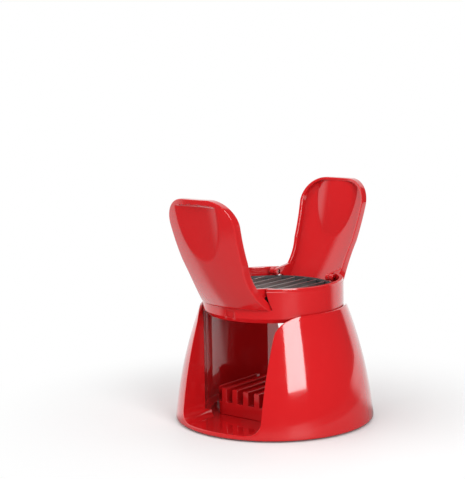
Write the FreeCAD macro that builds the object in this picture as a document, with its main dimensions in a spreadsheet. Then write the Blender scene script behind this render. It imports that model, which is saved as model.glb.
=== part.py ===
import FreeCAD, Part
import math
import os
import re

import Sketcher

# A two-handled press slicer for small round food. The bell-shaped base stands on the table with its
# two arched windows towards -Y and +Y. A ring of blades slides down its bore into a slotted comb,
# and two petal handles hinge on the ring: open they are the grips, folded in they cover the blades.
# Millimetres, +Z up, origin on the table under the middle of the base.

doc = FreeCAD.newDocument("press_slicer")
sheet = doc.addObject("Spreadsheet::Sheet", "Sizes")

SIZES = [
    # bell-shaped base
    ("base_radius", "67"),
    ("belly_draw", "6.1"),
    ("belly_radius", "=base_radius - belly_draw"),
    ("rim_draw", "17.7"),
    ("rim_radius", "=base_radius - rim_draw"),
    ("rim_wall", "1.6"),
    ("bore_radius", "=rim_radius - rim_wall"),
    ("rim_height", "78"),
    ("foot_height", "0.8"),
    ("foot_round", "1.6"),
    ("edge_round", "0.5"),
    ("bore_wall", "2"),
    ("skin_wall", "2.2"),
    ("reveal_wall", "2"),
    ("window_inset", "15.7"),
    ("window_half", "=bore_radius - window_inset"),
    ("window_corner", "8"),
    ("window_mouth", "12"),
    ("sill_height", "4"),
    ("stop_width", "4.9"),
    ("stop_radius", "=bore_radius - stop_width"),
    # floor, feet and screws
    ("floor_thickness", "2"),
    ("floor_gap", "0.3"),
    ("foot_pad_radius", "5"),
    ("foot_pad_recess", "0.8"),
    ("foot_pad_inset", "13"),
    ("foot_pad_circle", "=base_radius - foot_pad_inset"),
    ("screw_shank_radius", "1.5"),
    ("screw_head_radius", "2.9"),
    ("screw_head_height", "0.9"),
    ("screw_length", "10"),
    ("screw_gap", "0.1"),
    ("screw_angle", "22"),
    ("boss_radius", "4"),
    ("boss_height", "14"),
    # comb that carries the food
    ("comb_gap", "1"),
    ("comb_half_width", "=window_half - comb_gap"),
    ("comb_setback", "5"),
    ("comb_half_depth", "=comb_half_width - comb_setback"),
    ("comb_corner", "7"),
    ("comb_top", "21"),
    ("comb_edge", "3.4"),
    ("slot_width", "4.6"),
    ("slot_depth", "9.5"),
    ("slot_chamfer", "0.4"),
    # blades and their holder
    ("ring_lift", "4"),
    ("ring_seat", "=rim_height + ring_lift"),
    ("shelf_drop", "2"),
    ("shelf_height", "=ring_seat - shelf_drop"),
    ("blades_each_side", "3"),
    ("blade_pitch", "=(comb_half_width - comb_edge) / blades_each_side"),
    ("blade_thickness", "0.6"),
    ("blade_drop", "2.5"),
    ("blade_edge", "=shelf_height - blade_drop"),
    ("blade_tooth_pitch", "2.4"),
    ("blade_tooth_depth", "0.8"),
    ("blade_gap", "0.1"),
    ("frame_inset", "6.9"),
    ("frame_radius", "=bore_radius - frame_inset"),
    ("frame_wall", "2.2"),
    ("frame_height", "7.5"),
    ("clamp_height", "2.5"),
    # sliding ring
    ("edge_room", "1"),
    ("travel", "=blade_edge - comb_top + slot_depth - edge_room"),
    ("slide_gap", "0.4"),
    ("ring_wall", "3.1"),
    ("ring_height", "13.5"),
    ("ring_top", "=ring_seat + ring_height"),
    ("bead_height", "1.8"),
    ("bead_step", "0.4"),
    ("skirt_depth", "5"),
    ("skirt_bottom", "=rim_height - skirt_depth"),
    ("skirt_taper", "2.3"),
    ("skirt_rise", "3"),
    ("skirt_wall", "3"),
    ("shelf_thickness", "2"),
    ("shelf_grip", "1.4"),
    ("shelf_radius", "=frame_radius - shelf_grip"),
    ("clip_slot_width", "7"),
    ("clip_slot_height", "4.4"),
    ("clip_slot_depth", "1.2"),
    # petal handles and their hinges
    ("hinge_inset", "14.2"),
    ("hinge_reach", "=bore_radius - hinge_inset"),
    ("hinge_rise", "10.8"),
    ("hinge_height", "=ring_seat + hinge_rise"),
    ("hinge_gap", "0.3"),
    ("seam_gap", "0.8"),
    ("pin_radius", "1"),
    ("pin_gap", "0.05"),
    ("lug_radius", "2.4"),
    ("lug_width", "3.2"),
    ("ear_width", "2.6"),
    ("wing_proud", "1.6"),
    ("wing_foot_radius", "=bore_radius + wing_proud"),
    ("wing_spread", "33.1"),
    ("wing_tip_radius", "=wing_foot_radius + wing_spread"),
    ("wing_height", "74"),
    ("wing_tip_height", "=ring_seat + wing_height"),
    ("wing_bulge", "5"),
    ("wing_wall", "2"),
    ("wing_lip", "5.5"),
    ("wing_foot_inset", "5"),
    ("wing_foot_half", "=window_half - wing_foot_inset"),
    ("waist_draw", "3.7"),
    ("wing_waist_half", "=wing_foot_half - waist_draw"),
    ("waist_rise", "16"),
    ("wing_waist_height", "=ring_seat + waist_rise"),
    ("shoulder_draw", "0.6"),
    ("wing_shoulder_half", "=wing_foot_half - shoulder_draw"),
    ("wing_corner", "17"),
    ("dish_radius", "80"),
    ("dish_depth", "3.2"),
    ("dish_rise", "28"),
    ("dish_margin", "3.5"),
    ("dish_end_height", "=ring_seat + dish_rise"),
]
for row, (alias, number) in enumerate(SIZES, start=1):
    sheet.set(f"A{row}", alias)
    sheet.set(f"B{row}", number)
    sheet.setAlias(f"B{row}", alias)
doc.recompute()

ALIASES = {alias for alias, number in SIZES}
BLADES_EACH_SIDE = int(dict(SIZES)["blades_each_side"])
TOP, SIDE, FRONT = "XY", "YZ", "XZ"
PLANES = {
    TOP: FreeCAD.Rotation(),
    FRONT: FreeCAD.Rotation(FreeCAD.Vector(1, 0, 0), 90),
    SIDE: FreeCAD.Rotation(FreeCAD.Vector(1, 1, 1), 120),
}
sub_parts = []


def cells(expression):
    """Writes the sheet's name before each size in an expression."""
    return re.sub(r"[a-z_]+", lambda m: "Sizes." + m[0] if m[0] in ALIASES else m[0], expression)


def value(expression):
    return float(sheet.evalExpression(cells(expression)))


def bind(item, **expressions):
    for name, expression in expressions.items():
        item.setExpression(name.replace("_", "."), cells(expression))
    return item


def place(item, across="0", along="0", up="0"):
    bind(item, Placement_Base_x=across, Placement_Base_y=along, Placement_Base_z=up)
    return item


def name_sub_part(item, label):
    item.Label = label
    sub_parts.append(item)
    return item


def hold_point(sketch, geometry, position, across, up):
    """Ties a sketch point to the sheet by its two distances from the sketch's origin."""
    for kind, expression, axis in (("DistanceX", across, -2), ("DistanceY", up, -1)):
        distance = value(expression)
        if abs(distance) < 1e-9:
            sketch.addConstraint(Sketcher.Constraint("PointOnObject", geometry, position, axis))
            continue
        if distance > 0:
            tie = Sketcher.Constraint(kind, -1, 1, geometry, position, distance)
        else:
            tie = Sketcher.Constraint(kind, geometry, position, -1, 1, -distance)
            expression = f"-({expression})"
        sketch.setExpression(f"Constraints[{sketch.addConstraint(tie)}]", cells(expression))


def draw_outline(sketch, corners):
    """Draws a closed outline. A corner is (across, up), or (across, up, via) at the end of an arc."""
    points = [FreeCAD.Vector(value(c[0]), value(c[1]), 0) for c in corners]
    ends = []
    for i, corner in enumerate(corners):
        start, stop = points[i - 1], points[i]
        if len(corner) == 2:
            ends.append((sketch.addGeometry(Part.LineSegment(start, stop)), 1, 2))
            continue
        via = FreeCAD.Vector(value(corner[2][0]), value(corner[2][1]), 0)
        circle = Part.Circle(start, via, stop)
        middle = circle.Center
        turn = (via - start).cross(stop - via).z
        first, last = (start, stop) if turn > 0 else (stop, start)
        low = math.atan2(first.y - middle.y, first.x - middle.x)
        high = math.atan2(last.y - middle.y, last.x - middle.x)
        if high < low:
            high += 2 * math.pi
        flat = Part.Circle(middle, FreeCAD.Vector(0, 0, 1), circle.Radius)
        arc = sketch.addGeometry(Part.ArcOfCircle(flat, low, high))
        ends.append((arc, 1, 2) if turn > 0 else (arc, 2, 1))
        mark = sketch.addGeometry(Part.Point(via), True)
        hold_point(sketch, mark, 1, *corner[2])
        sketch.addConstraint(Sketcher.Constraint("PointOnObject", mark, 1, arc))
    for i, (edge, begin, end) in enumerate(ends):
        previous, _, previous_end = ends[i - 1]
        sketch.addConstraint(Sketcher.Constraint("Coincident", previous, previous_end, edge, begin))
        hold_point(sketch, edge, end, corners[i][0], corners[i][1])
    return sketch


def free_sketch(name, plane, corners):
    sketch = doc.addObject("Sketcher::SketchObject", name + "_outline")
    sketch.Placement = FreeCAD.Placement(FreeCAD.Vector(), PLANES[plane])
    return draw_outline(sketch, corners)


def body_sketch(body, name, plane, corners=()):
    sketch = body.newObject("Sketcher::SketchObject", name)
    support = [f for f in body.Origin.OriginFeatures if f.Role == plane + "_Plane"][0]
    sketch.AttachmentSupport = [(support, "")]
    sketch.MapMode = "FlatFace"
    doc.recompute()
    return draw_outline(sketch, corners) if corners else sketch


def draw_circle(sketch, across, up, radius):
    middle = FreeCAD.Vector(value(across), value(up), 0)
    circle = sketch.addGeometry(Part.Circle(middle, FreeCAD.Vector(0, 0, 1), value(radius)))
    hold_point(sketch, circle, 3, across, up)
    tie = sketch.addConstraint(Sketcher.Constraint("Radius", circle, value(radius)))
    sketch.setExpression(f"Constraints[{tie}]", cells(radius))


def turned(name, corners):
    """A solid turned round the part's own axis from a half section (radius, height)."""
    solid = doc.addObject("Part::Revolution", name)
    solid.Source = free_sketch(name, FRONT, corners)
    solid.Axis = FreeCAD.Vector(0, 0, 1)
    solid.Angle = 360
    solid.Solid = True
    return solid


def pressed(name, plane, corners, begin, end):
    """A solid pressed square to a plane, from begin to end along the axis that the plane lacks."""
    solid = doc.addObject("Part::Extrusion", name)
    solid.Base = free_sketch(name, plane, corners)
    solid.DirMode = "Custom"
    solid.Dir = {TOP: (0, 0, 1), FRONT: (0, 1, 0), SIDE: (1, 0, 0)}[plane]
    solid.Solid = True
    return bind(solid, LengthFwd=end, LengthRev=f"-({begin})")


def rod(name, radius, length, across="0", along="0", up="0", axis=None):
    solid = bind(doc.addObject("Part::Cylinder", name), Radius=radius, Height=length)
    if axis is not None:
        solid.Placement = FreeCAD.Placement(FreeCAD.Vector(), FreeCAD.Rotation(FreeCAD.Vector(0, 0, 1), axis))
    return place(solid, across, along, up)


def block(name, low, high):
    """A box between two corners, each given as three expressions."""
    solid = doc.addObject("Part::Box", name)
    length, width, height = (f"({b}) - ({a})" for a, b in zip(low, high))
    return place(bind(solid, Length=length, Width=width, Height=height), *low)


def joined(name, solids):
    result = doc.addObject("Part::MultiFuse", name)
    result.Shapes = solids
    return result


def shared(name, base, tool):
    result = doc.addObject("Part::Common", name)
    result.Base = base
    result.Tool = tool
    return result


def cut_away(name, base, tools):
    result = doc.addObject("Part::Cut", name)
    result.Base = base
    result.Tool = tools[0] if len(tools) == 1 else joined(name + "_tools", tools)
    return result


def group(label, solids):
    result = doc.addObject("Part::Compound", label)
    result.Links = solids
    return name_sub_part(result, label)


def corner_points(radius, angle):
    """The four mirror places of one point, given by its radius and its angle from the X axis."""
    across, along = f"{radius} * cos({angle} * 1 deg)", f"{radius} * sin({angle} * 1 deg)"
    return [(f"{a} * {across}", f"{b} * {along}") for a in (1, -1) for b in (1, -1)]


# Heights and radii that several pieces share
FLOOR_TOP = "(foot_height + floor_thickness)"
SKIN_INSIDE = "(base_radius - skin_wall)"
STOP_HEIGHT = "(skirt_bottom - travel - slide_gap)"
RING_RADIUS = "(bore_radius - slide_gap)"
FRAME_TOP = "(shelf_height + frame_height)"
CLAMP_TOP = "(shelf_height + frame_height + clamp_height)"
FRAME_BORE = "(frame_radius - frame_wall)"
POCKET = "(frame_radius + slide_gap)"
SCREW_CIRCLE = "(bore_radius + bore_wall + boss_radius - 1)"
EAR_OUT = "(wing_waist_half - hinge_gap / 2)"
LUG_IN = f"({EAR_OUT} + hinge_gap)"
LUG_OUT = f"({LUG_IN} + lug_width)"
MIDDLE = "(rim_height / 2)"
ROUND = "(1 - sqrt(0.5))"


# Base shell: one moulding with an outer skin, a plain bore and flat window reveals between them
def window_outline(grow):
    """Front view of a window: flat sill, straight sides, mouth flared open at the rim."""
    half = f"(window_half + {grow})"
    low = f"(sill_height - {grow})"
    flare = f"(window_mouth - {grow})"
    top = "rim_height + 2"
    turn = "(rim_height - window_mouth)"
    wide = f"({half} + {flare})"
    near = f"({half} + {flare} * {ROUND})"
    bend = f"({turn} + {flare} * sqrt(0.5))"
    inner = f"({half} - window_corner)"
    rise = f"({low} + window_corner)"
    dip = f"({low} + window_corner * {ROUND})"
    slant = f"({half} - window_corner * {ROUND})"
    return [
        (f"-{inner}", low, (f"-{slant}", dip)),
        (inner, low),
        (half, rise, (slant, dip)),
        (half, turn),
        (wide, f"({turn} + {flare})", (near, bend)),
        (wide, top),
        (f"-{wide}", top),
        (f"-{wide}", f"({turn} + {flare})"),
        (f"-{half}", turn, (f"-{near}", bend)),
        (f"-{half}", rise),
    ]


bell = turned("bell", [
    ("stop_radius", "foot_height"),
    ("base_radius - foot_round", "foot_height"),
    ("base_radius", "foot_height + foot_round",
     (f"base_radius - foot_round * {ROUND}", f"foot_height + foot_round * {ROUND}")),
    ("rim_radius", "rim_height - edge_round", ("belly_radius", MIDDLE)),
    ("rim_radius - edge_round", "rim_height"),
    ("bore_radius + edge_round", "rim_height"),
    ("bore_radius", "rim_height - edge_round"),
    ("bore_radius", STOP_HEIGHT),
    ("stop_radius", STOP_HEIGHT),
])
windows = pressed("windows", FRONT, window_outline("0"), "-base_radius - 1", "base_radius + 1")
hollow = turned("hollow", [
    ("bore_radius + bore_wall", "-1"),
    (SKIN_INSIDE, "-1"),
    (SKIN_INSIDE, "foot_height + foot_round"),
    ("bore_radius + bore_wall", "rim_height - 8",
     ("belly_radius - skin_wall", MIDDLE)),
])
guard = pressed("guard", FRONT, window_outline("reveal_wall"), "-base_radius - 1", "base_radius + 1")
kidneys = cut_away("kidneys", hollow, [guard])
floor_seat = rod("floor_seat", SKIN_INSIDE, f"{FLOOR_TOP} + 1", up="-1")
shell_walls = cut_away("shell_walls", bell, [windows, kidneys, floor_seat])
boss_places = corner_points(SCREW_CIRCLE, "screw_angle")
bosses = [
    rod(f"boss_{i}", "boss_radius", "boss_height", across, along, FLOOR_TOP)
    for i, (across, along) in enumerate(boss_places)
]
boss_bores = [
    rod(f"boss_bore_{i}", "screw_shank_radius + screw_gap", "screw_length + 2", across, along, "foot_height")
    for i, (across, along) in enumerate(boss_places)
]
name_sub_part(cut_away("base_shell", joined("bossed_shell", [shell_walls] + bosses), boss_bores), "base_shell")


# Floor plate: a disc that closes the shell from below, recessed for the feet and the screw heads
COMB_SCREWS = [("1.5 * blade_pitch", "0"), ("-1.5 * blade_pitch", "0")]
FOOT_PLACES = corner_points("foot_pad_circle", "45")
SCREW_PLACES = boss_places + COMB_SCREWS

floor = doc.addObject("PartDesign::Body", "floor_plate")
disc_sketch = body_sketch(floor, "disc_sketch", TOP)
draw_circle(disc_sketch, "0", "0", f"{SKIN_INSIDE} - floor_gap")
disc = floor.newObject("PartDesign::Pad", "disc")
disc.Profile = disc_sketch
bind(disc, Length="floor_thickness")
doc.recompute()


def sink(body, name, places, radius, depth=None):
    """Sinks round pockets up into a plate's underside, or through it where no depth is given."""
    sketch = body_sketch(body, name + "_sketch", TOP)
    for across, along in places:
        draw_circle(sketch, across, along, radius)
    pocket = body.newObject("PartDesign::Pocket", name)
    pocket.Profile = sketch
    pocket.Reversed = True
    if depth is None:
        pocket.Type = "ThroughAll"
    else:
        bind(pocket, Length=depth)
    doc.recompute()


sink(floor, "foot_recesses", FOOT_PLACES, "foot_pad_radius + screw_gap", "foot_pad_recess")
sink(floor, "head_recesses", SCREW_PLACES, "screw_head_radius + screw_gap", "screw_head_height")
sink(floor, "shank_holes", SCREW_PLACES, "screw_shank_radius + screw_gap")
place(floor, up="foot_height")
name_sub_part(floor, "floor_plate")

# Rubber feet: four discs glued into the floor's recesses, the only pieces that touch the table
group("foot_pads", [
    rod(f"foot_pad_{i}", "foot_pad_radius", "foot_height + foot_pad_recess", across, along)
    for i, (across, along) in enumerate(FOOT_PLACES)
])


def screw(name, across, along):
    """A cheese-head screw driven up from below, its head flush with the floor's underside."""
    head = rod(name + "_head", "screw_head_radius", "screw_head_height", across, along, "foot_height")
    shank = rod(name + "_shank", "screw_shank_radius", "screw_length", across, along, "foot_height")
    return joined(name, [head, shank])


group("floor_screws", [screw(f"floor_screw_{i}", *point) for i, point in enumerate(boss_places)])
group("comb_screws", [screw(f"comb_screw_{i}", *point) for i, point in enumerate(COMB_SCREWS)])

# Comb: the slotted bed that the food lies on, with one slot under each blade
comb = doc.addObject("PartDesign::Body", "comb_bed")
flat_x, flat_y = "(comb_half_width - comb_corner)", "(comb_half_depth - comb_corner)"
bend_x = f"({flat_x} + comb_corner * sqrt(0.5))"
bend_y = f"({flat_y} + comb_corner * sqrt(0.5))"
comb_sketch = body_sketch(comb, "comb_sketch", TOP, [
    (f"-{flat_x}", "-comb_half_depth", (f"-{bend_x}", f"-{bend_y}")),
    (flat_x, "-comb_half_depth"),
    ("comb_half_width", f"-{flat_y}", (bend_x, f"-{bend_y}")),
    ("comb_half_width", flat_y),
    (flat_x, "comb_half_depth", (bend_x, bend_y)),
    (f"-{flat_x}", "comb_half_depth"),
    ("-comb_half_width", flat_y, (f"-{bend_x}", bend_y)),
    ("-comb_half_width", f"-{flat_y}"),
])
comb_block = comb.newObject("PartDesign::Pad", "comb_block")
comb_block.Profile = comb_sketch
bind(comb_block, Length=f"comb_top - {FLOOR_TOP}")
doc.recompute()
sink(comb, "comb_screw_holes", COMB_SCREWS, "screw_shank_radius + screw_gap", "screw_length")
slot_top, slot_floor = f"(comb_top - {FLOOR_TOP})", f"(comb_top - {FLOOR_TOP} - slot_depth)"
slot_sketch = body_sketch(comb, "slot_sketch", FRONT, [
    ("-slot_width / 2", slot_floor),
    ("slot_width / 2", slot_floor),
    ("slot_width / 2", f"{slot_top} - slot_chamfer"),
    ("slot_width / 2 + slot_chamfer", slot_top),
    ("-slot_width / 2 - slot_chamfer", slot_top),
    ("-slot_width / 2", f"{slot_top} - slot_chamfer"),
])


def slotted(body, sketch, name):
    """Cuts a slot along Y right through a body and repeats it once for each blade."""
    slot = body.newObject("PartDesign::Pocket", name)
    slot.Profile = sketch
    slot.Type = "ThroughAll"
    slot.SideType = "Symmetric"
    doc.recompute()
    halves = []
    for side, reverse in (("right", False), ("left", True)):
        row = body.newObject("PartDesign::LinearPattern", f"{name}_{side}")
        row.Originals = [slot]
        row.Direction = (sketch, ["H_Axis"])
        row.Reversed = reverse
        row.Occurrences = BLADES_EACH_SIDE + 1
        bind(row, Length=f"{BLADES_EACH_SIDE} * blade_pitch")
        body.Tip = row
        doc.recompute()
        halves.append(row)
    return halves


slotted(comb, slot_sketch, "comb_slot")
place(comb, up=FLOOR_TOP)
name_sub_part(comb, "comb_bed")

# Cutter ring: the red collar that slides in the bore, notched front and rear to the handles' outline
def petal_outline(inset, low):
    """Front view of the handle from height low: wide foot, drawn-in waist, broad round tip."""
    foot = f"(wing_foot_half - ({inset}))"
    waist = f"(wing_waist_half - ({inset}))"
    wide = f"(wing_shoulder_half - ({inset}))"
    round_tip = f"(wing_corner - ({inset}))"
    top = f"(wing_tip_height - ({inset}))"
    above = "(wing_waist_height + waist_rise)"
    bend = f"({wide} - {round_tip} * {ROUND})"
    rise = f"({top} - {round_tip} * {ROUND})"
    return [
        (f"-{foot}", low, (f"-{waist}", "wing_waist_height")),
        (foot, low),
        (f"({waist} + 0.35 * ({foot} - {waist}))", above, (waist, "wing_waist_height")),
        (wide, f"({top} - {round_tip})"),
        (f"({wide} - {round_tip})", top, (bend, rise)),
        (f"-({wide} - {round_tip})", top),
        (f"-{wide}", f"({top} - {round_tip})", (f"-{bend}", rise)),
        (f"-({waist} + 0.35 * ({foot} - {waist}))", above),
    ]


ring_blank = turned("ring_blank", [
    (f"{RING_RADIUS} - skirt_taper", "skirt_bottom"),
    (RING_RADIUS, "skirt_bottom + skirt_rise"),
    (RING_RADIUS, "ring_top - bead_height"),
    (f"{RING_RADIUS} - bead_step", "ring_top - bead_height"),
    (f"{RING_RADIUS} - bead_step", "ring_top - edge_round"),
    (f"{RING_RADIUS} - bead_step - edge_round", "ring_top"),
    (f"{RING_RADIUS} - ring_wall + edge_round", "ring_top"),
    (f"{RING_RADIUS} - ring_wall", "ring_top - edge_round"),
    (f"{RING_RADIUS} - ring_wall", "ring_seat + 1"),
    (POCKET, "ring_seat + 1"),
    (POCKET, "shelf_height"),
    ("shelf_radius", "shelf_height"),
    ("shelf_radius", "shelf_height - shelf_thickness"),
    (f"{RING_RADIUS} - skirt_taper - skirt_wall", "shelf_height - shelf_thickness - 1.5"),
    (f"{RING_RADIUS} - skirt_taper - skirt_wall", "skirt_bottom"),
])
notches = pressed(
    "notches", FRONT, petal_outline("-seam_gap", "ring_seat"), "-base_radius", "base_radius"
)
pocket_room = rod("pocket_room", POCKET, "ring_height", up="shelf_height")
lugs, lug_bores, pins = [], [], []
X_AXIS = FreeCAD.Vector(1, 0, 0)
for end, reach in (("front", "-hinge_reach"), ("rear", "hinge_reach")):
    for side, lug_start, pin_start in (
        ("left", f"-{LUG_OUT}", f"-{LUG_OUT}"),
        ("right", LUG_IN, f"{EAR_OUT} - ear_width"),
    ):
        eye = rod(f"{end}_{side}_eye", "lug_radius", "lug_width", lug_start, reach, "hinge_height", X_AXIS)
        root = block(
            f"{end}_{side}_root",
            (lug_start, f"{reach} - lug_radius", "shelf_height"),
            (f"{lug_start} + lug_width", f"{reach} + lug_radius", "hinge_height"),
        )
        lugs += [eye, cut_away(f"{end}_{side}_stem", root, [pocket_room])]
        pin_length = f"{LUG_OUT} - {EAR_OUT} + ear_width"
        pins.append(rod(f"{end}_{side}_pin", "pin_radius", pin_length, pin_start, reach, "hinge_height", X_AXIS))
        name_sub_part(pins[-1], f"{end}_{side}_hinge_pin")
    lug_bores.append(rod(
        f"{end}_lug_bore", "pin_radius + pin_gap / 2", f"2 * {LUG_OUT} + 2",
        f"-{LUG_OUT} - 1", reach, "hinge_height", X_AXIS,
    ))
clip_slots = [
    block(
        f"clip_slot_{end}",
        ("-clip_slot_width / 2", low, "ring_seat - 1.6 - clip_slot_height"),
        ("clip_slot_width / 2", high, "ring_seat - 1.6"),
    )
    for end, low, high in (
        ("front", "-base_radius", f"clip_slot_depth - {RING_RADIUS}"),
        ("rear", f"{RING_RADIUS} - clip_slot_depth", "base_radius"),
    )
]
notched_ring = cut_away("notched_ring", ring_blank, [notches])
ring_with_lugs = joined("ring_with_lugs", [notched_ring] + lugs)
name_sub_part(cut_away("cutter_ring", ring_with_lugs, lug_bores + clip_slots), "cutter_ring")

# Blade frame: a dark ring with a pair of slots for each blade, dropped on the cutter ring's shelf
frame = doc.addObject("PartDesign::Body", "blade_frame")
frame_sketch = body_sketch(frame, "frame_sketch", FRONT, [
    (FRAME_BORE, "0"),
    ("frame_radius", "0"),
    ("frame_radius", "frame_height"),
    (FRAME_BORE, "frame_height"),
])
frame_ring = frame.newObject("PartDesign::Revolution", "frame_ring")
frame_ring.Profile = frame_sketch
frame_ring.ReferenceAxis = (frame_sketch, ["V_Axis"])
frame_ring.Angle = 360
doc.recompute()
SEAT_DEPTH = "(frame_height * 0.8)"
seat_half = "(blade_thickness / 2 + blade_gap / 2)"
seat_sketch = body_sketch(frame, "seat_sketch", FRONT, [
    (f"-{seat_half}", f"frame_height - {SEAT_DEPTH}"),
    (seat_half, f"frame_height - {SEAT_DEPTH}"),
    (seat_half, "frame_height + 1"),
    (f"-{seat_half}", "frame_height + 1"),
])
slotted(frame, seat_sketch, "blade_seat")
place(frame, up="shelf_height")
name_sub_part(frame, "blade_frame")

# Clamp ring: closes the blade seats from above
name_sub_part(turned("blade_clamp_ring", [
    (FRAME_BORE, FRAME_TOP),
    ("frame_radius", FRAME_TOP),
    ("frame_radius", f"{CLAMP_TOP} - edge_round"),
    ("frame_radius - edge_round", CLAMP_TOP),
    (f"{FRAME_BORE} + edge_round", CLAMP_TOP),
    (FRAME_BORE, f"{CLAMP_TOP} - edge_round"),
]), "blade_clamp_ring")


# Blades: thin stamped strips with a toothed lower edge and a tab at each end for the frame's slots
def half_chord(radius, offset):
    reach = abs(offset) + value("blade_thickness") / 2
    return math.sqrt(radius ** 2 - reach ** 2)


def make_blade(index):
    offset = index * value("blade_pitch")
    gap = value("blade_gap")
    inner = half_chord(value(FRAME_BORE) - gap, offset)
    outer = half_chord(value("frame_radius") - gap, offset)
    tab_top = value(FRAME_TOP)
    tab_low = value(f"{FRAME_TOP} - {SEAT_DEPTH}")
    top = value(f"{CLAMP_TOP} - edge_round")
    edge, depth = value("blade_edge"), value("blade_tooth_depth")
    teeth = int(2 * inner / value("blade_tooth_pitch"))
    pitch = 2 * inner / teeth
    outline = [(-inner, tab_low), (-outer, tab_low), (-outer, tab_top), (-inner, tab_top), (-inner, top)]
    outline += [(inner, top), (inner, tab_top), (outer, tab_top), (outer, tab_low), (inner, tab_low)]
    for tooth in range(teeth):
        outline.append((inner - pitch * tooth, edge + depth))
        outline.append((inner - pitch * (tooth + 0.5), edge))
    outline.append((-inner, edge + depth))
    points = [FreeCAD.Vector(offset - value("blade_thickness") / 2, y, z) for y, z in outline]
    face = Part.Face(Part.makePolygon(points + points[:1]))
    blade = doc.addObject("Part::Feature", f"blade_{index + BLADES_EACH_SIDE + 1}")
    blade.Shape = face.extrude(FreeCAD.Vector(value("blade_thickness"), 0, 0))
    name_sub_part(blade, f"blade_{index + BLADES_EACH_SIDE + 1}")


for blade_index in range(-BLADES_EACH_SIDE, BLADES_EACH_SIDE + 1):
    make_blade(blade_index)


# Petal handle: a bowl-curved tray with a lip all round, a finger dish in its back and two hinge ears
def wing_arc(depth):
    """Foot, middle and tip of the handle's side curve, moved in from the outer face by depth."""
    rise = "(wing_tip_height - ring_seat)"
    run = "(wing_tip_radius - wing_foot_radius)"
    long = f"sqrt({rise} ^ 2 + {run} ^ 2)"
    out, down = f"({rise} / {long})", f"({run} / {long})"
    swing = f"(({long} ^ 2 / 4 + wing_bulge ^ 2) / (2 * wing_bulge))"
    tilt = f"({long} / 2 / {swing})"
    lean = f"(({swing} - wing_bulge) / {swing})"
    foot_out = f"({out} * {lean} - {down} * {tilt})"
    foot_down = f"({down} * {lean} + {out} * {tilt})"
    tip_out = f"({out} * {lean} + {down} * {tilt})"
    tip_down = f"({down} * {lean} - {out} * {tilt})"
    middle = (
        f"(wing_foot_radius + wing_tip_radius) / 2 + {out} * (wing_bulge - {depth})",
        f"(ring_seat + wing_tip_height) / 2 - {down} * (wing_bulge - {depth})",
    )
    foot = (f"wing_foot_radius - {depth} * {foot_out}", f"ring_seat + {depth} * {foot_down}")
    tip = (f"wing_tip_radius - {depth} * {tip_out}", f"wing_tip_height + {depth} * {tip_down}")
    below = (f"{foot[0]} - wing_lip * {foot_down}", f"{foot[1]} - wing_lip * {foot_out}")
    return below, foot, middle, tip


def strip(name, near, far):
    """A turned strip between two depths under the handle's outer face, run on below its foot."""
    near_below, near_foot, near_middle, near_tip = wing_arc(near)
    far_below, far_foot, far_middle, far_tip = wing_arc(far)
    return turned(name, [
        far_below,
        near_below,
        near_foot,
        (*near_tip, near_middle),
        far_tip,
        (*far_foot, far_middle),
    ])


petal = pressed("petal", FRONT, petal_outline("0", "ring_seat"), "-wing_tip_radius - 9", "0")
petal_inside = pressed(
    "petal_inside", FRONT, petal_outline("wing_wall", "ring_seat + wing_wall"), "-wing_tip_radius - 9", "0"
)
tray_blank = shared("tray_blank", strip("outer_strip", "0", "wing_lip"), petal)
tray_hollow = shared("tray_hollow", strip("inner_strip", "wing_wall", "(wing_lip + 1)"), petal_inside)
tray = cut_away("tray", tray_blank, [tray_hollow])

# The dish is a round hollow that leans less than the handle, so it runs out towards the foot, and
# it stops short of the tip
dish_end_radius = "(wing_foot_radius + (dish_end_height - ring_seat) * 0.68)"
dish_top_radius = "(wing_tip_radius - dish_depth)"
dish_lean = math.degrees(math.atan2(
    value(f"{dish_top_radius} - {dish_end_radius}"), value("wing_tip_height - dish_end_height")
))
dish_axis = value(dish_end_radius) + value("dish_radius") / math.cos(math.radians(dish_lean))


def dish_rod(name, radius):
    solid = bind(doc.addObject("Part::Cylinder", name), Radius=radius, Height="3 * wing_tip_height")
    solid.Placement = FreeCAD.Placement(
        FreeCAD.Vector(0, -dish_axis, value("dish_end_height")),
        FreeCAD.Rotation(FreeCAD.Vector(1, 0, 0), dish_lean),
        FreeCAD.Vector(0, 0, 0),
    )
    shift = solid.Placement.Rotation.multVec(FreeCAD.Vector(0, 0, -value("wing_tip_height")))
    solid.Placement.Base = solid.Placement.Base + shift
    return solid


dish_back = shared("dish_back", tray_blank, dish_rod("dish_back_rod", "dish_radius + wing_wall"))
dish_room = block(
    "dish_room",
    ("-wing_foot_half", "-2 * wing_tip_radius", "ring_seat"),
    ("wing_foot_half", "0", "wing_tip_height - dish_margin"),
)
dish = shared("dish", dish_rod("dish_rod", "dish_radius"), dish_room)
dished = cut_away("dished", joined("backed_tray", [tray, dish_back]), [dish])
LUG_REACH = f"sqrt({LUG_OUT} ^ 2 + (hinge_reach + lug_radius) ^ 2)"
foot_room = rod("foot_room", f"{LUG_REACH} + slide_gap", "ring_height", up="ring_seat - 1")
trimmed = cut_away("trimmed", dished, [foot_room])
wing_inside = turned("wing_inside", [
    ("0", "ring_seat"),
    ("wing_foot_radius", "ring_seat"),
    ("wing_tip_radius", "wing_tip_height", wing_arc("0")[2]),
    ("0", "wing_tip_height"),
])


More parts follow.
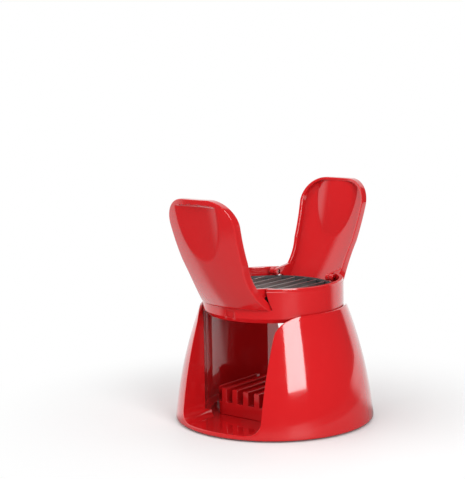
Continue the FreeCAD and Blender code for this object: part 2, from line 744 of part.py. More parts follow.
def ear(side, start):
    """A side plate that carries the handle's edge in to the hinge pin."""
    reach = "-hinge_reach"
    eye = rod(f"ear_{side}_eye", "lug_radius", "ear_width", start, reach, "hinge_height", X_AXIS)
    arm = pressed(f"ear_{side}_arm", SIDE, [
        (reach, "hinge_height - lug_radius"),
        (reach, "hinge_height + lug_radius"),
        ("-wing_foot_radius - 9", "hinge_height + 2 * lug_radius"),
        ("-wing_foot_radius - 9", "hinge_height - 3 * lug_radius"),
        (f"{reach} - 2 * lug_radius", "hinge_height - lug_radius"),
    ], start, f"{start} + ear_width")
    return shared(f"ear_{side}", joined(f"ear_{side}_blank", [eye, arm]), wing_inside)


ears = [ear("left", f"-{EAR_OUT}"), ear("right", f"{EAR_OUT} - ear_width")]
ear_bore = rod(
    "ear_bore", "pin_radius + pin_gap", "2 * wing_foot_half + 2",
    "-wing_foot_half - 1", "-hinge_reach", "hinge_height", X_AXIS,
)
front_wing = cut_away("front_wing", joined("eared_wing", [trimmed] + ears), [ear_bore])
name_sub_part(front_wing, "front_wing")
rear_wing = doc.addObject("Part::Mirroring", "rear_wing")
rear_wing.Source = front_wing
rear_wing.Normal = FreeCAD.Vector(0, 1, 0)
name_sub_part(rear_wing, "rear_wing")

doc.recompute()

for item in doc.Objects:
    if "Invalid" in item.State or "Error" in item.State:
        raise RuntimeError(f"{item.Name} failed: {item.State}")
os.makedirs("parts", exist_ok=True)
for item in sub_parts:
    if item.Shape.isNull() or not item.Shape.isValid():
        raise RuntimeError(f"{item.Label} has no valid shape")
for item in sub_parts:
    item.Shape.exportStep(f"parts/{item.Label}.step")
    print(item.Label, len(item.Shape.Solids), round(item.Shape.Volume, 1))
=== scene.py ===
import math

import bmesh
import bpy
from mathutils import Matrix, Vector


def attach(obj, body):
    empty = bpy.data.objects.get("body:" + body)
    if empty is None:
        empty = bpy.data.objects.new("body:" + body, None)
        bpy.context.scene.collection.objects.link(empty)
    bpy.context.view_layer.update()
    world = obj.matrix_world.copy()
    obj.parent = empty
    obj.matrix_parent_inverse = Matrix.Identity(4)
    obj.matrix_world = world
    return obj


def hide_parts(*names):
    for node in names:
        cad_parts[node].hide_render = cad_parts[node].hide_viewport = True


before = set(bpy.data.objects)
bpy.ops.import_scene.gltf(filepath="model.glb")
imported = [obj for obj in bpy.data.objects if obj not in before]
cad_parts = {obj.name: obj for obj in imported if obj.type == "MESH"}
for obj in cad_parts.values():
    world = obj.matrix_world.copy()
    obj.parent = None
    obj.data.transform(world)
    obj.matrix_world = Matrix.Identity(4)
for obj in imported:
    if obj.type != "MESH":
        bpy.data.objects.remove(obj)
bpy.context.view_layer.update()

# Base shell. One injection moulding in polished red plastic, drawn upwards out of its mould: a bell,
# hollow from below, with a plain bore and two windows whose flat reveals join the skin to the bore.
MM = 0.001  # sizes are in millimetres and the scene is in metres
CREASE = 35  # degrees from which an edge is shaded as sharp
CLOSE = 0.1  # millimetres within which two heights or radii count as one


class Socket:
    """A shader socket that works in sums: each operator adds the Math node that does it."""

    def __init__(self, tree, socket=None):
        self.tree = tree
        self.socket = socket

    def make(self, kind, settings, inputs, output=0):
        """Adds a node, with its settings first and then the values or links of its sockets."""
        node = self.tree.nodes.new(kind)
        for name, setting in settings.items():
            setattr(node, name, setting)
        for key, given in inputs.items():
            if isinstance(given, Socket):
                self.tree.links.new(given.socket, node.inputs[key])
            else:
                node.inputs[key].default_value = given
        return Socket(self.tree, node.outputs[output])

    def math(self, operation, *terms):
        return self.make("ShaderNodeMath", {"operation": operation}, dict(enumerate(terms)))

    def __add__(self, other):
        return self.math("ADD", self, other)

    def __sub__(self, other):
        return self.math("SUBTRACT", self, other)

    def __rsub__(self, other):
        return self.math("SUBTRACT", other, self)

    def __mul__(self, other):
        return self.math("MULTIPLY", self, other)

    def __truediv__(self, other):
        return self.math("DIVIDE", self, other)

    __radd__ = __add__
    __rmul__ = __mul__


def new_material(name):
    """A material with a plain Principled shader, and a Socket to start its node tree from."""
    material = bpy.data.materials.new(name)
    material.use_nodes = True
    return material, material.node_tree.nodes["Principled BSDF"], Socket(material.node_tree)


def noise(start, scale, detail, stretch=(1, 1, 1), turn=(0, 0, 0)):
    """Noise over a piece, scale in features to the metre, drawn out along an axis by stretch."""
    where = start.make("ShaderNodeTexCoord", {}, {}, "Object")
    where = start.make("ShaderNodeMapping", {}, {"Vector": where, "Scale": stretch, "Rotation": turn})
    return start.make("ShaderNodeTexNoise", {}, {"Vector": where, "Scale": scale, "Detail": detail})


def swell(start, given, low, high):
    """Runs smoothly from 0 to 1 as a value goes from low to high."""
    settings = {"interpolation_type": "SMOOTHSTEP"}
    return start.make("ShaderNodeMapRange", settings, {"Value": given, "From Min": low, "From Max": high})


def between(start, mask, low, high):
    """Runs from one colour to another over a mask."""
    settings = {"data_type": "RGBA"}
    return start.make("ShaderNodeMix", settings, {0: mask, 6: (*low, 1), 7: (*high, 1)}, 2)


def relief(start, given, strength, depth):
    """Turns a value into bumps in the surface, depth in metres."""
    return start.make("ShaderNodeBump", {}, {"Strength": strength, "Distance": depth, "Height": given})


def feed(start, shader, **sockets):
    """Links values to a shader's sockets, whose names have underscores here in place of spaces."""
    for name, given in sockets.items():
        start.tree.links.new(given.socket, shader.inputs[name.replace("_", " ")])


def moulded_red(name, deep, bright):
    """Polished red plastic: faint flow marks in the colour, orange peel, wiped smears, hair scratches."""
    material, shader, start = new_material(name)
    flow = noise(start, 26, 2, (1, 1, 0.35))
    smear = swell(start, noise(start, 60, 5), 0.45, 0.75)
    scratch = swell(start, noise(start, 520, 2, (1, 0.03, 0.12), (0.3, 0.5, 0.8)), 0.68, 0.74)
    scratch = scratch + swell(start, noise(start, 430, 2, (0.03, 1, 0.1), (0.6, 0.2, 0.4)), 0.69, 0.75)
    peel = relief(start, noise(start, 420, 2), 0.04, 0.0004)
    gloss = 0.085 + smear * 0.05 + scratch * 0.06
    feed(start, shader, Base_Color=between(start, flow, deep, bright), Roughness=gloss, Normal=peel)
    shader.inputs["Coat Weight"].default_value = 0.8
    shader.inputs["Coat Roughness"].default_value = 0.03
    shader.inputs["IOR"].default_value = 1.5
    return material


def add_piece(name, bm, material, body, slot, *nodes):
    """Puts a finished mesh in the scene in place of CAD nodes, smooth but for its creases."""
    mesh = bpy.data.meshes.new(name)
    bm.to_mesh(mesh)
    bm.free()
    mesh.materials.append(material)
    mesh.shade_smooth()
    mesh.set_sharp_from_angle(angle=math.radians(CREASE))
    piece = bpy.data.objects.new(name, mesh)
    bpy.context.scene.collection.objects.link(piece)
    flats = piece.modifiers.new("flats", "WEIGHTED_NORMAL")
    flats.keep_sharp = True
    with bpy.context.temp_override(object=piece, active_object=piece):
        bpy.ops.object.modifier_apply(modifier=flats.name)
    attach(piece, body)
    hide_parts(*nodes)


def circle_through(low, middle, high):
    """Centre and radius of the circle through three points."""
    (x1, y1), (x2, y2), (x3, y3) = low, middle, high
    spread = 2 * ((x2 - x1) * (y3 - y1) - (x3 - x1) * (y2 - y1))
    first = x2 ** 2 + y2 ** 2 - x1 ** 2 - y1 ** 2
    second = x3 ** 2 + y3 ** 2 - x1 ** 2 - y1 ** 2
    centre_x = ((y3 - y1) * first - (y2 - y1) * second) / spread
    centre_y = ((x2 - x1) * second - (x3 - x1) * first) / spread
    return centre_x, centre_y, math.hypot(x1 - centre_x, y1 - centre_y)


def bow(low, middle, high):
    """The arc through three points (reach, height), as a function from height to reach."""
    centre, level, swing = circle_through(low, middle, high)
    side = 1 if middle[0] > centre else -1
    return lambda height: centre + side * math.sqrt(swing ** 2 - (height - level) ** 2)


def quarter_round(radius, turns):
    """Points of a quarter round at turns in degrees: how far each is short of its end, and its rise."""
    leans = [math.radians(turn) for turn in turns]
    return [(radius * (1 - math.sin(lean)), radius * (1 - math.cos(lean))) for lean in leans]


def turn_section(section, steps):
    """Turns a closed half section (radius, height), in millimetres, round the upright axis."""
    bm = bmesh.new()
    verts = [bm.verts.new((radius * MM, 0, height * MM)) for radius, height in section]
    edges = [bm.edges.new((verts[i - 1], verts[i])) for i in range(len(verts))]
    bmesh.ops.spin(
        bm, geom=verts + edges, cent=(0, 0, 0), axis=(0, 0, 1), angle=math.tau, steps=steps,
        use_merge=True, use_duplicate=False,
    )
    bmesh.ops.remove_doubles(bm, verts=bm.verts, dist=1e-6)
    bmesh.ops.recalc_face_normals(bm, faces=bm.faces)
    return bm


def grow(bm, faces):
    """Extrudes faces, leaves none behind inside, and returns the new faces and their vertices."""
    grown = bmesh.ops.extrude_face_region(bm, geom=faces)["geom"]
    bmesh.ops.delete(bm, geom=[f for f in faces if f.is_valid], context="FACES")
    new_faces = [g for g in grown if isinstance(g, bmesh.types.BMFace)]
    return new_faces, [g for g in grown if isinstance(g, bmesh.types.BMVert)]


def place_in_column(v, column, panel, window, edge, radius, height):
    """Puts a vertex where its column stands on a ring whose openings end at edge, in millimetres.

    Two panels, each panel columns wide, stand left and right, and two openings, each window columns
    wide, lie between them at the front and the rear.
    """
    reach = math.acos(edge / radius)
    turn, step = divmod(column + panel // 2, panel + window)
    if step <= panel:
        angle = reach * (2 * step / panel - 1)
    else:
        angle = reach + (math.pi - 2 * reach) * (step - panel) / window
    angle += turn * math.pi
    v.co = Vector((radius * math.cos(angle), radius * math.sin(angle), height)) * MM


def lay_columns(bm, panel, window, edge):
    """Numbers the columns of a turned ring, and shifts them so that its openings end at edge."""
    column_of = bm.verts.layers.int.new("column")
    bm.verts.layers.int.new("skin")
    columns = 2 * (panel + window)
    for v in bm.verts:
        v[column_of] = round(math.atan2(v.co.y, v.co.x) / math.tau * columns) % columns
        place_in_column(v, v[column_of], panel, window, edge, v.co.xy.length / MM, v.co.z / MM)


def grow_panels(bm, panel, window, start, inside, rows):
    """Grows the panels' share of the level ring at height start, outside radius inside, through rows.

    A row is a height, an edge, an outer and an inner radius, in millimetres.
    """
    column_of, skin_of = bm.verts.layers.int["column"], bm.verts.layers.int["skin"]
    growing = []
    for face in bm.faces:
        steps = [(v[column_of] + panel // 2) % (panel + window) for v in face.verts]
        level = all(abs(v.co.z / MM - start) < CLOSE for v in face.verts)
        nearest = min(v.co.xy.length for v in face.verts) / MM
        if level and max(steps) <= panel and nearest > inside - CLOSE:
            growing.append(face)
    for v in {v for face in growing for v in face.verts}:
        v[skin_of] = int(v.co.xy.length / MM > inside + CLOSE)
    for height, edge, outer, inner in rows:
        growing, verts = grow(bm, growing)
        for v in verts:
            radius = outer if v[skin_of] else inner
            place_in_column(v, v[column_of], panel, window, edge, radius, height)
    bmesh.ops.recalc_face_normals(bm, faces=bm.faces)


def round_sharp_edges(bm, offset, segments=3, sharp=50, above=-1):
    """Rounds the edges whose faces meet at more than sharp degrees, from a height in millimetres up."""
    edges = [
        e for e in bm.edges
        if len(e.link_faces) == 2
        and e.calc_face_angle() > math.radians(sharp)
        and min(v.co.z for v in e.verts) > above * MM
    ]
    bmesh.ops.bevel(
        bm, geom=edges, offset=offset * MM, offset_type="OFFSET", segments=segments, profile=0.5,
        affect="EDGES", material=-1, clamp_overlap=False,
    )


red_plastic = moulded_red("red_plastic", (0.44, 0.006, 0.008), (0.51, 0.009, 0.011))
FOOT, FOOT_RADIUS, FOOT_ROUND = 0.8, 67, 1.6
SILL, RIM, RIM_RADIUS = 4, 78, 49.3
BELL_MIDDLE, BELL_TOP = (60.9, 39), (RIM_RADIUS, 77.5)
BORE, STOP, STOP_TOP = 47.7, 42.8, 7.6
SKIN_INSIDE, FLOOR_TOP = 64.8, 2.8
WINDOW, CORNER, MOUTH, WINDOW_ROUND = 32, 8, 12, 0.55
BORE_WALL, SKIN_WALL, REVEAL_WALL, HOLLOW_TOP = 2, 2.2, 2, 70
SHELL_COLUMNS, STRAIGHT_ROWS = (48, 24), 22
bell = bow((FOOT_RADIUS, FOOT + FOOT_ROUND), BELL_MIDDLE, BELL_TOP)
section = [
    (STOP, SILL), (STOP, FLOOR_TOP), (BORE + BORE_WALL, FLOOR_TOP),
    (SKIN_INSIDE, FLOOR_TOP), (SKIN_INSIDE, FOOT),
]
foot_edge = quarter_round(FOOT_ROUND, range(0, 91, 18))
section += [(FOOT_RADIUS - short, FOOT + rise) for short, rise in foot_edge]
section.append((bell(SILL), SILL))
straight = RIM - MOUTH - SILL - CORNER
rows = [(SILL + rise, WINDOW - short) for short, rise in quarter_round(CORNER, (24, 42, 60, 75, 90))]
rows += [(SILL + CORNER + straight * i / STRAIGHT_ROWS, WINDOW) for i in range(1, STRAIGHT_ROWS + 1)]
rows += [(RIM - short, WINDOW + rise) for short, rise in quarter_round(MOUTH, (12, 24, 36, 48, 60, 72, 90))]
rows = [(height, edge, bell(height), BORE if height > STOP_TOP else STOP) for height, edge in rows]
hollow = [
    (height, edge + REVEAL_WALL, outer - SKIN_WALL, BORE + BORE_WALL)
    for height, edge, outer, _ in rows if height < HOLLOW_TOP
]
bm = turn_section(section, 2 * sum(SHELL_COLUMNS))
lay_columns(bm, *SHELL_COLUMNS, WINDOW - CORNER)
grow_panels(bm, *SHELL_COLUMNS, SILL, STOP, rows)
round_sharp_edges(bm, WINDOW_ROUND, above=SILL - CLOSE)
grow_panels(bm, *SHELL_COLUMNS, FLOOR_TOP, BORE + BORE_WALL, hollow)
add_piece("base_shell_moulding", bm, red_plastic, "base", "red_plastic", "base_shell")


# Floor plate. A flat red disc that closes the shell from below, recessed for feet and screw heads.
# It is plain, so it keeps its CAD shape, with its triangles joined so that its rims shade as round.
def merged_copy(node):
    """A CAD node's mesh, with its loose triangles joined."""
    bm = bmesh.new()
    bm.from_mesh(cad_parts[node].data)
    bmesh.ops.remove_doubles(bm, verts=bm.verts, dist=1e-6)
    return bm


add_piece("floor_disc", merged_copy("floor_plate"), red_plastic, "base", "red_plastic", "floor_plate")


# Comb. A red block moulded in one with its fins, screwed down from below. The fins stand a blade's
# pitch apart and their edges are just broken, as a mould leaves them.
def rounded_copy(node, offset, sharp=50):
    """A CAD node's mesh with its flat faces made whole and its sharp edges rounded."""
    bm = merged_copy(node)
    bmesh.ops.dissolve_limit(bm, angle_limit=math.radians(0.5), verts=bm.verts, edges=bm.edges)
    round_sharp_edges(bm, offset, 2, sharp)
    return bm


comb = rounded_copy("comb_bed", offset=0.45, sharp=40)
add_piece("comb_moulding", comb, red_plastic, "base", "red_plastic", "comb_bed")

# Screws. Zinc-plated steel, turned, with the plating's cloudy bloom. Four hold the floor plate to
# the shell and two hold the comb.
ZINC_ROUND = 0.15
zinc_steel, shader, start = new_material("zinc_steel")
bloom = noise(start, 600, 4)
tone = between(start, bloom, (0.58, 0.58, 0.57), (0.78, 0.78, 0.76))
feed(start, shader, Base_Color=tone, Roughness=0.4 + bloom * 0.24)
shader.inputs["Metallic"].default_value = 1.0
for node in ("floor_screws", "comb_screws"):
    add_piece(node + "_zinc", rounded_copy(node, ZINC_ROUND), zinc_steel, "base", "screw_steel", node)

# Feet. Four die-cut discs of black rubber, glued into the floor plate's recesses, dull and a little
# dusty, with their cut edges just broken.
foot_rubber, shader, start = new_material("foot_rubber")
dust = noise(start, 1500, 5)
tone = between(start, dust, (0.018, 0.018, 0.018), (0.05, 0.05, 0.048))
feed(start, shader, Base_Color=tone, Roughness=0.7 + dust * 0.2, Normal=relief(start, dust, 0.3, 0.0001))
feet = rounded_copy("foot_pads", offset=0.2)
add_piece("foot_discs", feet, foot_rubber, "base", "foot_rubber", "foot_pads")

# Cutter ring. A red collar that slides in the bore: a smooth band with a bead at the rim, notched
# front and rear to the handles' outline, with a clip slot under each notch and four hinge lugs.
SEAT, BAND, LAND, POCKET = 82, 47.3, 44.2, 41.2
BAND_LOW, BAND_TOP, BAND_ROWS = 76, 93.5, 12
SKIRT, SKIRT_OUTSIDE, SKIRT_INSIDE = 73, 45, 42
SHELF, SHELF_ROOT, SHELF_LOW, SHELF_TOP = 39.4, 76.5, 78, 80
SLOT_TOP, SLOT_HALF, SLOT_FLOOR = 80.4, 3.6, 46.1
HINGE_REACH, HINGE_HEIGHT, HINGE_EYE = 33.5, 92.8, 2.4
LUG_IN, LUG_OUT, LUG_GAP = 23.45, 26.65, 0.3
RING_ROUND, RING_COLUMNS = 0.3, (72, 36)
PETAL_FOOT, PETAL_WAIST, PETAL_FLARE = 27, 23.3, 0.35
WAIST_HEIGHT, FLARE_HEIGHT, NOTCH_GAP = 98, 114, 0.8


def petal_side(inset, low):
    """A handle's side, moved in by inset, from its foot at low past its waist: height to half width."""
    foot, waist = PETAL_FOOT - inset, PETAL_WAIST - inset
    flare = waist + PETAL_FLARE * (foot - waist)
    return bow((foot, low), (waist, WAIST_HEIGHT), (flare, FLARE_HEIGHT))


def add_eye(bm, place, width):
    """Adds the round end of a hinge's lug or ear, width in millimetres along X."""
    bmesh.ops.create_cone(
        bm, cap_ends=True, segments=32, radius1=HINGE_EYE * MM, radius2=HINGE_EYE * MM, depth=width * MM,
        matrix=Matrix.Translation(place) @ Matrix.Rotation(math.radians(90), 4, "Y"),
    )


notch = petal_side(-NOTCH_GAP, SEAT)
section = [
    (SKIRT_OUTSIDE, SKIRT), (BAND, BAND_LOW), (BAND, SLOT_TOP), (BAND, SEAT), (LAND, SEAT), (POCKET, SEAT),
    (POCKET, SHELF_TOP), (SHELF, SHELF_TOP), (SHELF, SHELF_LOW), (SKIRT_INSIDE, SHELF_ROOT),
    (SKIRT_INSIDE, SKIRT),
]
# The bead's rows, from the top of the band to the rim, as height, outer and inner radius.
bead = [(93.9, 46.9, LAND), (94.9, 46.9, LAND), (95.3, 46.75, 44.35), (95.5, 46.4, 44.7)]
rows = [(SEAT + (BAND_TOP - SEAT) * i / BAND_ROWS, BAND, LAND) for i in range(1, BAND_ROWS + 1)]
rows = [(height, notch(height), outer, inner) for height, outer, inner in rows + bead]
bm = turn_section(section, 2 * sum(RING_COLUMNS))
lay_columns(bm, *RING_COLUMNS, notch(SEAT))
grow_panels(bm, *RING_COLUMNS, SEAT, LAND, rows)
for side in (-1, 1):
    clip_slot = [
        f for f in bm.faces
        if all(BAND_LOW - CLOSE < v.co.z / MM < SLOT_TOP + CLOSE for v in f.verts)
        and all(v.co.xy.length > (BAND - CLOSE) * MM for v in f.verts)
        and all(abs(v.co.x) < SLOT_HALF * MM and v.co.y * side > 0 for v in f.verts)
    ]
    for v in grow(bm, clip_slot)[1]:
        v.co.y = side * SLOT_FLOOR * MM
lug = Vector((LUG_OUT - LUG_IN, 2 * HINGE_EYE, HINGE_HEIGHT - SHELF_TOP))
for right in (-1, 1):
    for front in (-1, 1):
        middle = Vector((right * (LUG_IN + LUG_OUT) / 2, front * HINGE_REACH, 0)) * MM
        stem = bmesh.ops.create_cube(bm, size=MM)["verts"]
        bmesh.ops.scale(bm, verts=stem, vec=lug)
        bmesh.ops.translate(bm, verts=stem, vec=middle + Vector((0, 0, SHELF_TOP + lug.z / 2)) * MM)
        outward = middle.normalized()
        faces = {f for v in stem for f in v.link_faces}
        edges = {e for v in stem for e in v.link_edges}
        cut = bmesh.ops.bisect_plane(
            bm, geom=stem + list(edges) + list(faces), plane_co=outward * (POCKET + LUG_GAP) * MM,
            plane_no=outward, clear_inner=True,
        )["geom_cut"]
        bmesh.ops.holes_fill(bm, edges=[e for e in cut if isinstance(e, bmesh.types.BMEdge)])
        add_eye(bm, middle + Vector((0, 0, HINGE_HEIGHT)) * MM, lug.x)
bmesh.ops.recalc_face_normals(bm, faces=bm.faces)
round_sharp_edges(bm, RING_ROUND)
add_piece("cutter_ring_moulding", bm, red_plastic, "cutter_head", "red_plastic", "cutter_ring")

# Blade frame and clamp ring. Dark glass-filled plastic, matt from a spark-eroded mould. The frame
# drops on the ring's shelf and the clamp ring closes the blade seats.
dark_plastic, shader, start = new_material("dark_plastic")
grain = noise(start, 2600, 2)
matt = relief(start, grain, 0.25, 0.0001)
tone = between(start, noise(start, 90, 4), (0.022, 0.022, 0.024), (0.04, 0.04, 0.043))
feed(start, shader, Base_Color=tone, Roughness=0.42 + grain * 0.2, Normal=matt)
for node in ("blade_frame", "blade_clamp_ring"):
    ring = rounded_copy(node, offset=0.2)
    add_piece(node + "_moulding", ring, dark_plastic, "cutter_head", "dark_plastic", node)

# Blades. Stamped stainless strip, ground along its length, which is along Y, with a brighter ground
# bevel at the toothed edge. They keep their CAD shapes.
BLADES = 7
BEVEL_TOP = (79.4, 79.8)
blade_steel, shader, start = new_material("blade_steel")
lines = noise(start, 900, 4, (1, 0.02, 1))
where = start.make("ShaderNodeTexCoord", {}, {}, "Object")
up = start.make("ShaderNodeSeparateXYZ", {}, {0: where}, "Z")
ground = 1 - swell(start, up, BEVEL_TOP[0] * MM, BEVEL_TOP[1] * MM)
grooves = relief(start, lines, 0.2, 0.00005)
tone = between(start, lines * 0.7 + ground * 0.3, (0.5, 0.49, 0.48), (0.8, 0.79, 0.78))
feed(start, shader, Base_Color=tone, Roughness=0.34 + lines * 0.16 - ground * 0.14, Normal=grooves)
shader.inputs["Metallic"].default_value = 1.0
for number in range(1, BLADES + 1):
    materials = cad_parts[f"blade_{number}"].data.materials
    materials.clear()
    materials.append(blade_steel)

# Hinge pins. Four short zinc-plated steel pins, two to a handle, pressed through the ring's lugs so
# that the handles' ears turn on them.
for end in ("front", "rear"):
    for side in ("left", "right"):
        node = f"{end}_{side}_hinge_pin"
        pin = rounded_copy(node, ZINC_ROUND)
        add_piece(node + "_zinc", pin, zinc_steel, "cutter_head", "screw_steel", node)

# Petal handles. Red mouldings like the base: a bowed tray with a round-edged lip, a thumb dish in
# its back that stops short of the tip, and an ear at each side of the foot that turns on a hinge pin.
HANDLE_TOP, SPREAD, BULGE, LUG_ROOM = 156, 33.1, 5, 45.1
WALL, LIP, EDGE, LIP_EDGE = 2, 5.5, 0.7, 0.5
PETAL_WIDE, PETAL_CORNER = 26.4, 17
SIDE_SHARE, FLARE_SHARE = 0.38, 0.66  # of the rows along the handle, up to the flare and to the corner
STEPS_ACROSS, STEPS_ALONG = 64, 112
DISH, DISH_LOW, DISH_SLOPE, DISH_DEPTH = 80, 110, 0.68, 3.2
DISH_STOP, STOP_RUN, STOP_RISE, DISH_BLEND = 152.5, 2.8, 5, 0.25
EAR_IN, EAR_WIDTH, EAR_ROUND = 20.55, 2.6, 0.3
EAR_ROOT = [(-54.6, 97.6), (-45.7, 85.6), (-38.3, 90.4)]  # y and z, where the ear runs into the tray
handle_rise = HANDLE_TOP - SEAT
slant = math.hypot(handle_rise, SPREAD)
sweep_x, sweep_z, sweep = circle_through(
    (RIM_RADIUS, SEAT),
    (
        RIM_RADIUS + SPREAD / 2 + BULGE * handle_rise / slant,
        SEAT + handle_rise / 2 - BULGE * SPREAD / slant,
    ),
    (RIM_RADIUS + SPREAD, HANDLE_TOP),
)
dish_foot = RIM_RADIUS + DISH_SLOPE * (DISH_LOW - SEAT)
dish_lean = math.atan2(RIM_RADIUS + SPREAD - DISH_DEPTH - dish_foot, HANDLE_TOP - DISH_LOW)
dish_axis = dish_foot + DISH / math.cos(dish_lean)


def petal_edge(along, inset):
    """Half width and height of the outline, moved in by inset, from its foot (0) to its tip (1)."""
    low, bend = SEAT + inset, HANDLE_TOP - PETAL_CORNER
    wide, corner = PETAL_WIDE - inset, PETAL_CORNER - inset
    side = petal_side(inset, low)
    if along < SIDE_SHARE:
        height = low + (FLARE_HEIGHT - low) * along / SIDE_SHARE
        return side(height), height
    if along < FLARE_SHARE:
        share = (along - SIDE_SHARE) / (FLARE_SHARE - SIDE_SHARE)
        flare = side(FLARE_HEIGHT)
        return flare + (wide - flare) * share, FLARE_HEIGHT + (bend - FLARE_HEIGHT) * share
    turn = (along - FLARE_SHARE) / (1 - FLARE_SHARE) * math.pi / 2
    return wide - corner + corner * math.cos(turn), bend + corner * math.sin(turn)


def handle_out(across, height, depth):
    """How far out the handle lies at a depth under its outer face, with room left for the lugs."""
    radius = sweep_x + math.sqrt((sweep - depth) ** 2 - (height - sweep_z) ** 2)
    return math.sqrt(max(radius, LUG_ROOM) ** 2 - across ** 2)


def dish_out(across, height, radius):
    """How far out the dish lies, a hollow round an axis that leans out with the handle."""
    axis = dish_axis + (height - DISH_LOW) * math.tan(dish_lean)
    return axis - math.sqrt(radius ** 2 - across ** 2) / math.cos(dish_lean)


def softly_nearer(one, other, blend):
    """The nearer of two faces, with the edge where they cross rounded off."""
    return (one + other - math.sqrt((one - other) ** 2 + blend ** 2)) / 2


def handle_point(across, along, inset, depth, dished):
    """A place on the front handle, by its shares across (-1 to 1) and along (0 to 1) the outline."""
    half, height = petal_edge(along, inset)
    x = across * half
    out = handle_out(x, height, depth)
    if dished:
        ramp = min(1, max(0, (height - DISH_STOP) / STOP_RUN + 0.5)) if depth == 0 else 0
        stop = STOP_RISE * ramp ** 2 * (3 - 2 * ramp)
        out = softly_nearer(out, dish_out(x, height, DISH + depth) + stop, DISH_BLEND)
    return Vector((x, -out, height)) * MM


def petal_tray():
    """The front handle's tray: an outer and an inner face, joined round the rim by the lip."""
    # The lip's levels, as inset and depth, from the edge of the outer face round to the inner wall.
    lip_round = quarter_round(LIP_EDGE, (0, 30, 60, 90))
    lip_levels = quarter_round(EDGE, (30, 60, 90))
    lip_levels.append((0, (EDGE + LIP - LIP_EDGE) / 2))
    lip_levels += [(rise, LIP - short) for short, rise in lip_round]
    lip_levels += [(WALL - rise, LIP - short) for short, rise in reversed(lip_round)]
    bm = bmesh.new()
    bmesh.ops.create_grid(bm, x_segments=STEPS_ACROSS, y_segments=STEPS_ALONG, size=1)
    across_of = bm.verts.layers.float.new("across")
    along_of = bm.verts.layers.float.new("along")
    for v in bm.verts:
        v[across_of], v[along_of] = v.co.x, (v.co.y + 1) / 2
    rim = [e for e in bm.edges if e.is_boundary]
    inner = bmesh.ops.duplicate(bm, geom=list(bm.verts) + list(bm.edges) + list(bm.faces))["geom"]
    inner = {g for g in inner if isinstance(g, bmesh.types.BMVert)}
    for v in bm.verts:
        inset, depth = (WALL, WALL) if v in inner else (EDGE, 0)
        v.co = handle_point(v[across_of], v[along_of], inset, depth, True)
    for inset, depth in lip_levels:
        rim = bmesh.ops.extrude_edge_only(bm, edges=rim)["geom"]
        for v in (g for g in rim if isinstance(g, bmesh.types.BMVert)):
            v.co = handle_point(v[across_of], v[along_of], inset, depth, False)
        rim = [g for g in rim if isinstance(g, bmesh.types.BMEdge)]
    rim += [e for e in bm.edges if e.is_boundary and e.verts[0] in inner]
    bmesh.ops.bridge_loops(bm, edges=rim)
    bmesh.ops.recalc_face_normals(bm, faces=bm.faces)
    return bm


def hinge_ears():
    """The front handle's two ears, as a mesh of their own so that only their edges are rounded here."""
    bm = bmesh.new()
    arm = [(-HINGE_REACH, HINGE_HEIGHT - HINGE_EYE), (-HINGE_REACH, HINGE_HEIGHT + HINGE_EYE)] + EAR_ROOT
    for begin in (-EAR_IN - EAR_WIDTH, EAR_IN):
        face = bm.faces.new([bm.verts.new(Vector((begin, y, z)) * MM) for y, z in arm])
        far = bmesh.ops.extrude_face_region(bm, geom=[face], use_keep_orig=True)["geom"]
        far = [g for g in far if isinstance(g, bmesh.types.BMVert)]
        bmesh.ops.translate(bm, verts=far, vec=(EAR_WIDTH * MM, 0, 0))
        add_eye(bm, Vector((begin + EAR_WIDTH / 2, -HINGE_REACH, HINGE_HEIGHT)) * MM, EAR_WIDTH)
    bmesh.ops.recalc_face_normals(bm, faces=bm.faces)
    round_sharp_edges(bm, EAR_ROUND)
    mesh = bpy.data.meshes.new("ears")
    bm.to_mesh(mesh)
    bm.free()
    return mesh


for end in ("front", "rear"):
    bm = petal_tray()
    ears = hinge_ears()
    bm.from_mesh(ears)
    bpy.data.meshes.remove(ears)
    if end == "rear":
        bmesh.ops.scale(bm, verts=bm.verts, vec=(1, -1, 1))
        bmesh.ops.reverse_faces(bm, faces=bm.faces)
    add_piece(f"{end}_handle_moulding", bm, red_plastic, f"{end}_handle", "red_plastic", f"{end}_wing")

# Studio. A pale table that runs out to white, a tall soft box to the right and a broad one overhead.
# Mirror images see a room that is white behind the object and dim on the camera's side. Other rays
# get its soft light from all round, strongest from the left. Distances here are in metres.
TABLE_FRONT, ROOM_FRONT, ROOM_LEFT = (0.719, -0.695, 0), (0.853, -0.522, 0), (-0.704, -0.704, 0.087)
FADE_SEEN, FADE_MIRRORED, PAINTED_SHADE_DEEPER = (0.085, 0.22), (0.25, 0.7), (0.19, 0.27)
TABLE_HALF = 6


def in_direction(start, where, direction):
    """How far a place, or a ray's way, lies in a direction."""
    settings = {"operation": "DOT_PRODUCT"}
    return start.make("ShaderNodeVectorMath", settings, {0: where, 1: direction}, "Value")


def ray_is(start, kind):
    """1 for rays of a kind, such as Camera or Glossy, and 0 for others."""
    return start.make("ShaderNodeLightPath", {}, {}, f"Is {kind} Ray")


table_white, shader, start = new_material("table_white")
shader.inputs["Roughness"].default_value = 0.6
where = start.make("ShaderNodeTexCoord", {}, {}, "Object")
away = start.make("ShaderNodeVectorMath", {"operation": "LENGTH"}, {0: where}, "Value")
seen, shine = ray_is(start, "Camera"), ray_is(start, "Glossy")
front = swell(start, in_direction(start, where, TABLE_FRONT) / away, -0.3, 0)
# Painted shade in reflections: where mirror images see the table on the camera's side, its colour is
# painted near black, deeper further out, standing in for a dim room.
painted_mirror_shade = shine * front * (0.7 + 0.25 * swell(start, away, *PAINTED_SHADE_DEEPER))
feed(start, shader, Base_Color=between(start, painted_mirror_shade, (0.76, 0.76, 0.76), (0.05, 0.05, 0.05)))
fade = swell(start, away, *FADE_SEEN) * seen + swell(start, away, *FADE_MIRRORED) * shine * (1 - front)
white = start.make("ShaderNodeEmission", {}, {"Color": (1, 1, 1, 1), "Strength": 1.0})
surface = Socket(start.tree, shader.outputs[0])
mixed = start.make("ShaderNodeMixShader", {}, {0: fade, 1: surface, 2: white})
feed(start, start.tree.nodes["Material Output"], Surface=mixed)
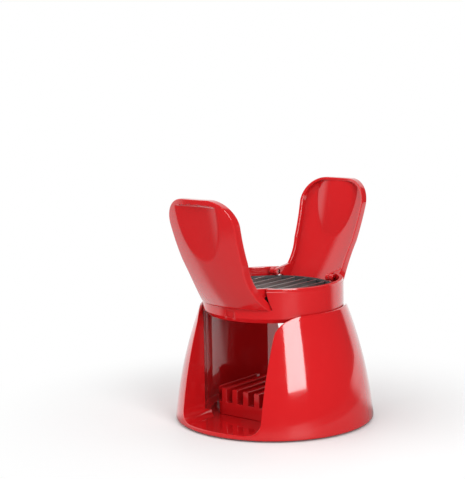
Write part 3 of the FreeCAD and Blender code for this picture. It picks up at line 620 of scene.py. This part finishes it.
bm = bmesh.new()
bmesh.ops.create_grid(bm, x_segments=1, y_segments=1, size=TABLE_HALF)
mesh = bpy.data.meshes.new("table")
bm.to_mesh(mesh)
bm.free()
mesh.materials.append(table_white)
table = bpy.data.objects.new("table", mesh)
bpy.context.scene.collection.objects.link(table)


def soft_box(name, azimuth, elevation, distance, width, height, shine):
    """An area lamp that looks at the object, shine times as bright as white paper in plain light."""
    around, above = math.radians(azimuth), math.radians(elevation)
    way = Vector((math.cos(above) * math.sin(around), -math.cos(above) * math.cos(around), math.sin(above)))
    target = Vector((0, 0, 0.07))
    lamp = bpy.data.lights.new(name, "AREA")
    lamp.shape = "RECTANGLE"
    lamp.size, lamp.size_y, lamp.energy = width, height, shine * math.pi * width * height
    holder = bpy.data.objects.new(name, lamp)
    holder.location = target + distance * way
    holder.rotation_euler = (-way).to_track_quat("-Z", "Y").to_euler()
    bpy.context.scene.collection.objects.link(holder)


soft_box("tall_box", azimuth=64, elevation=24, distance=0.9, width=0.37, height=0.6, shine=8.2)
soft_box("top_box", azimuth=10, elevation=82, distance=1.1, width=0.6, height=0.6, shine=2.1)
world = bpy.data.worlds.new("studio")
world.use_nodes = True
background = world.node_tree.nodes["Background"]
background.inputs["Color"].default_value = (1, 1, 1, 1)
room = Socket(world.node_tree)
where = room.make("ShaderNodeTexCoord", {}, {}, "Generated")
dim = 1 - 0.92 * swell(room, in_direction(room, where, ROOM_FRONT), -0.37, -0.22)
fill = 0.6 + 1.7 * swell(room, in_direction(room, where, ROOM_LEFT), 0.3, 0.95)
seen, shine = ray_is(room, "Camera"), ray_is(room, "Glossy")
unseen = shine * dim + (1 - shine) * fill
feed(room, background, Strength=seen + (1 - seen) * unseen)
bpy.context.scene.world = world

# Camera. Where the photograph was taken from, with a long lens, a little above the ring. It leans by
# about a degree, as the photograph does.
CAMERA_PLACE, FOCAL_LENGTH = (0.5582, -0.7407, 0.2542), 105.2
CAMERA_TURN, CAMERA_TILT, CAMERA_LEAN = 38.66, 81.853, -0.9
lens = bpy.data.cameras.new("camera")
lens.lens = FOCAL_LENGTH
camera = bpy.data.objects.new("camera", lens)
camera.matrix_world = (
    Matrix.Translation(CAMERA_PLACE)
    @ Matrix.Rotation(math.radians(CAMERA_TURN), 4, "Z")
    @ Matrix.Rotation(math.radians(CAMERA_TILT), 4, "X")
    @ Matrix.Rotation(math.radians(CAMERA_LEAN), 4, "Z")
)
bpy.context.scene.collection.objects.link(camera)
bpy.context.scene.camera = camera
bpy.context.scene.view_settings.view_transform = "Standard"
